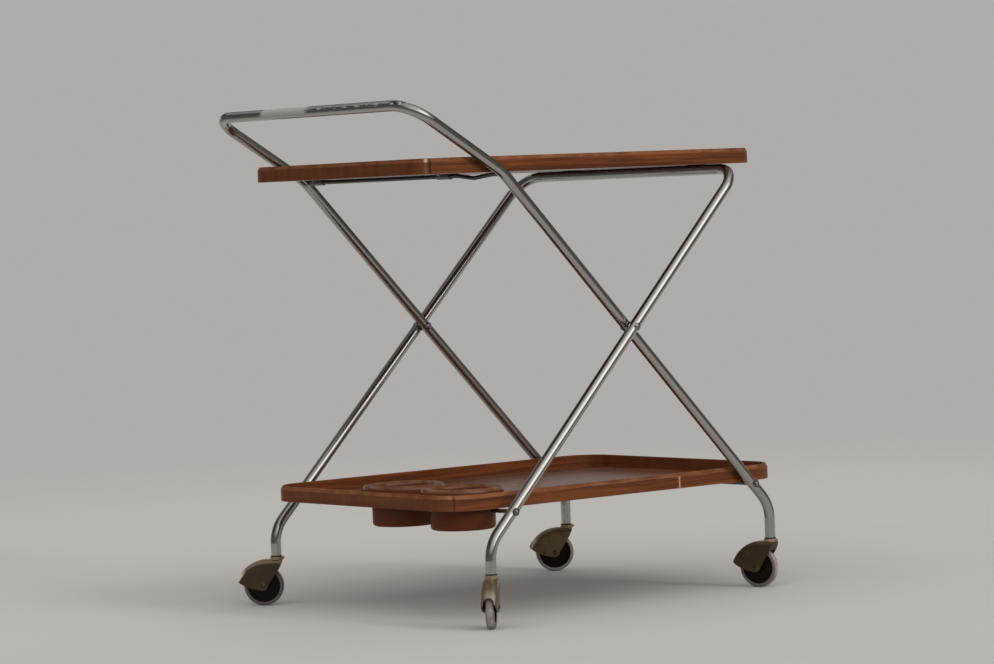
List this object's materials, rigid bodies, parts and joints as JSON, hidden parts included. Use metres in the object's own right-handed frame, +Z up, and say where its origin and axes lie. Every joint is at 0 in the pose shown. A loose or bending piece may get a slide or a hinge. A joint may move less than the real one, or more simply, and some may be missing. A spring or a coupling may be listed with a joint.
{
  "type": "folding serving trolley",
  "caption": "Folding serving trolley with crossed chrome tube frames, two rimmed wood-grain trays, bottle holders and hooded swivel casters.",
  "frame": {"origin": "on the floor, under the frame pivots, midway between the sides", "axes": "+X from the handle end to the front end, +Y to the left of someone pushing, +Z up"},
  "size_m": [0.6705, 0.5899, 0.7145],
  "materials": {
    "frame_chrome": "worn chrome plate on steel tube",
    "rod_steel": "dull plated steel rod",
    "clip_steel": "dull plated steel strip",
    "screw_steel": "plated steel",
    "tray_laminate": "glossy wood-grain laminate",
    "tray_edging": "satin wood-grain edging",
    "holder_plastic": "moulded brown plastic",
    "hood_brass": "tarnished brass plate",
    "socket_black": "black moulded socket",
    "wheel_disc": "dark brown moulded disc",
    "tyre": "grey rubber"
  },
  "bodies": {
    "handle_frame": {"caster_socket_front_left": "socket_black", "caster_socket_front_right": "socket_black", "handle_frame": "frame_chrome", "lower_tray_hinge_rod": "rod_steel", "top_tray_hinge_wire": "rod_steel"},
    "table_frame": {"caster_socket_rear_left": "socket_black", "caster_socket_rear_right": "socket_black", "lower_tray_rest_peg_left": "rod_steel", "lower_tray_rest_peg_right": "rod_steel", "pivot_rivet_left": "screw_steel", "pivot_rivet_right": "screw_steel", "pivot_washer_left": "screw_steel", "pivot_washer_right": "screw_steel", "table_frame": "frame_chrome"},
    "top_tray": {"top_tray_clip_left": "clip_steel", "top_tray_clip_right": "clip_steel", "top_tray_clip_screws": "screw_steel", "top_tray_hook_left": "clip_steel", "top_tray_hook_right": "clip_steel", "top_tray_hook_screws": "screw_steel", "top_tray_panel": "tray_laminate", "top_tray_rim": "tray_edging"},
    "lower_tray": {"bottle_holder_left": "holder_plastic", "bottle_holder_right": "holder_plastic", "lower_tray_clip_left": "clip_steel", "lower_tray_clip_right": "clip_steel", "lower_tray_clip_screws": "screw_steel", "lower_tray_panel": "tray_laminate", "lower_tray_rim": "tray_edging"},
    "swivel_front_right": {"caster_axle_front_right": "hood_brass", "caster_hood_front_right": "hood_brass", "caster_pintle_front_right": "screw_steel"},
    "wheel_front_right": {"caster_tyre_front_right": "tyre", "caster_wheel_front_right": "wheel_disc"},
    "swivel_front_left": {"caster_axle_front_left": "hood_brass", "caster_hood_front_left": "hood_brass", "caster_pintle_front_left": "screw_steel"},
    "wheel_front_left": {"caster_tyre_front_left": "tyre", "caster_wheel_front_left": "wheel_disc"},
    "swivel_rear_right": {"caster_axle_rear_right": "hood_brass", "caster_hood_rear_right": "hood_brass", "caster_pintle_rear_right": "screw_steel"},
    "wheel_rear_right": {"caster_tyre_rear_right": "tyre", "caster_wheel_rear_right": "wheel_disc"},
    "swivel_rear_left": {"caster_axle_rear_left": "hood_brass", "caster_hood_rear_left": "hood_brass", "caster_pintle_rear_left": "screw_steel"},
    "wheel_rear_left": {"caster_tyre_rear_left": "tyre", "caster_wheel_rear_left": "wheel_disc"}
  },
  "joints": [
    {"name": "frame_fold", "type": "hinge", "parent": "handle_frame", "child": "table_frame", "pos_m": [0, 0, 0.391], "axis": [0, -1, 0], "range_deg": [0, 54]},
    {"name": "top_tray_tilt", "type": "hinge", "parent": "handle_frame", "child": "top_tray", "pos_m": [-0.20874, 0, 0.6102], "axis": [0, -1, 0], "range_deg": [0, 87]},
    {"name": "lower_tray_tilt", "type": "hinge", "parent": "handle_frame", "child": "lower_tray", "pos_m": [0.22693, 0, 0.1527], "axis": [0, 1, 0], "range_deg": [0, 66]},
    {"name": "swivel_front_right", "type": "hinge", "parent": "handle_frame", "child": "swivel_front_right", "pos_m": [0.258, -0.229, 0.07], "axis": [0, 0, 1], "continuous": true},
    {"name": "roll_front_right", "type": "hinge", "parent": "swivel_front_right", "child": "wheel_front_right", "pos_m": [0.25133, -0.21068, 0.029], "axis": [-0.9397, -0.342, 0], "continuous": true},
    {"name": "swivel_front_left", "type": "hinge", "parent": "handle_frame", "child": "swivel_front_left", "pos_m": [0.258, 0.229, 0.07], "axis": [0, 0, 1], "continuous": true},
    {"name": "roll_front_left", "type": "hinge", "parent": "swivel_front_left", "child": "wheel_front_left", "pos_m": [0.24203, 0.24018, 0.029], "axis": [-0.5736, -0.8192, 0], "continuous": true},
    {"name": "swivel_rear_right", "type": "hinge", "parent": "table_frame", "child": "swivel_rear_right", "pos_m": [-0.276, -0.24899, 0.07], "axis": [0, 0, 1], "continuous": true},
    {"name": "roll_rear_right", "type": "hinge", "parent": "swivel_rear_right", "child": "wheel_rear_right", "pos_m": [-0.28955, -0.26302, 0.029], "axis": [0.7193, -0.6947, 0], "continuous": true},
    {"name": "swivel_rear_left", "type": "hinge", "parent": "table_frame", "child": "swivel_rear_left", "pos_m": [-0.276, 0.24899, 0.07], "axis": [0, 0, 1], "continuous": true},
    {"name": "roll_rear_left", "type": "hinge", "parent": "swivel_rear_left", "child": "wheel_rear_left", "pos_m": [-0.29049, 0.26204, 0.029], "axis": [-0.6691, -0.7431, 0], "continuous": true}
  ],
  "couplings": [
    {"joint": "top_tray_tilt", "follows": "frame_fold", "ratio": 1.6},
    {"joint": "lower_tray_tilt", "follows": "frame_fold", "ratio": 1.22}
  ]
}
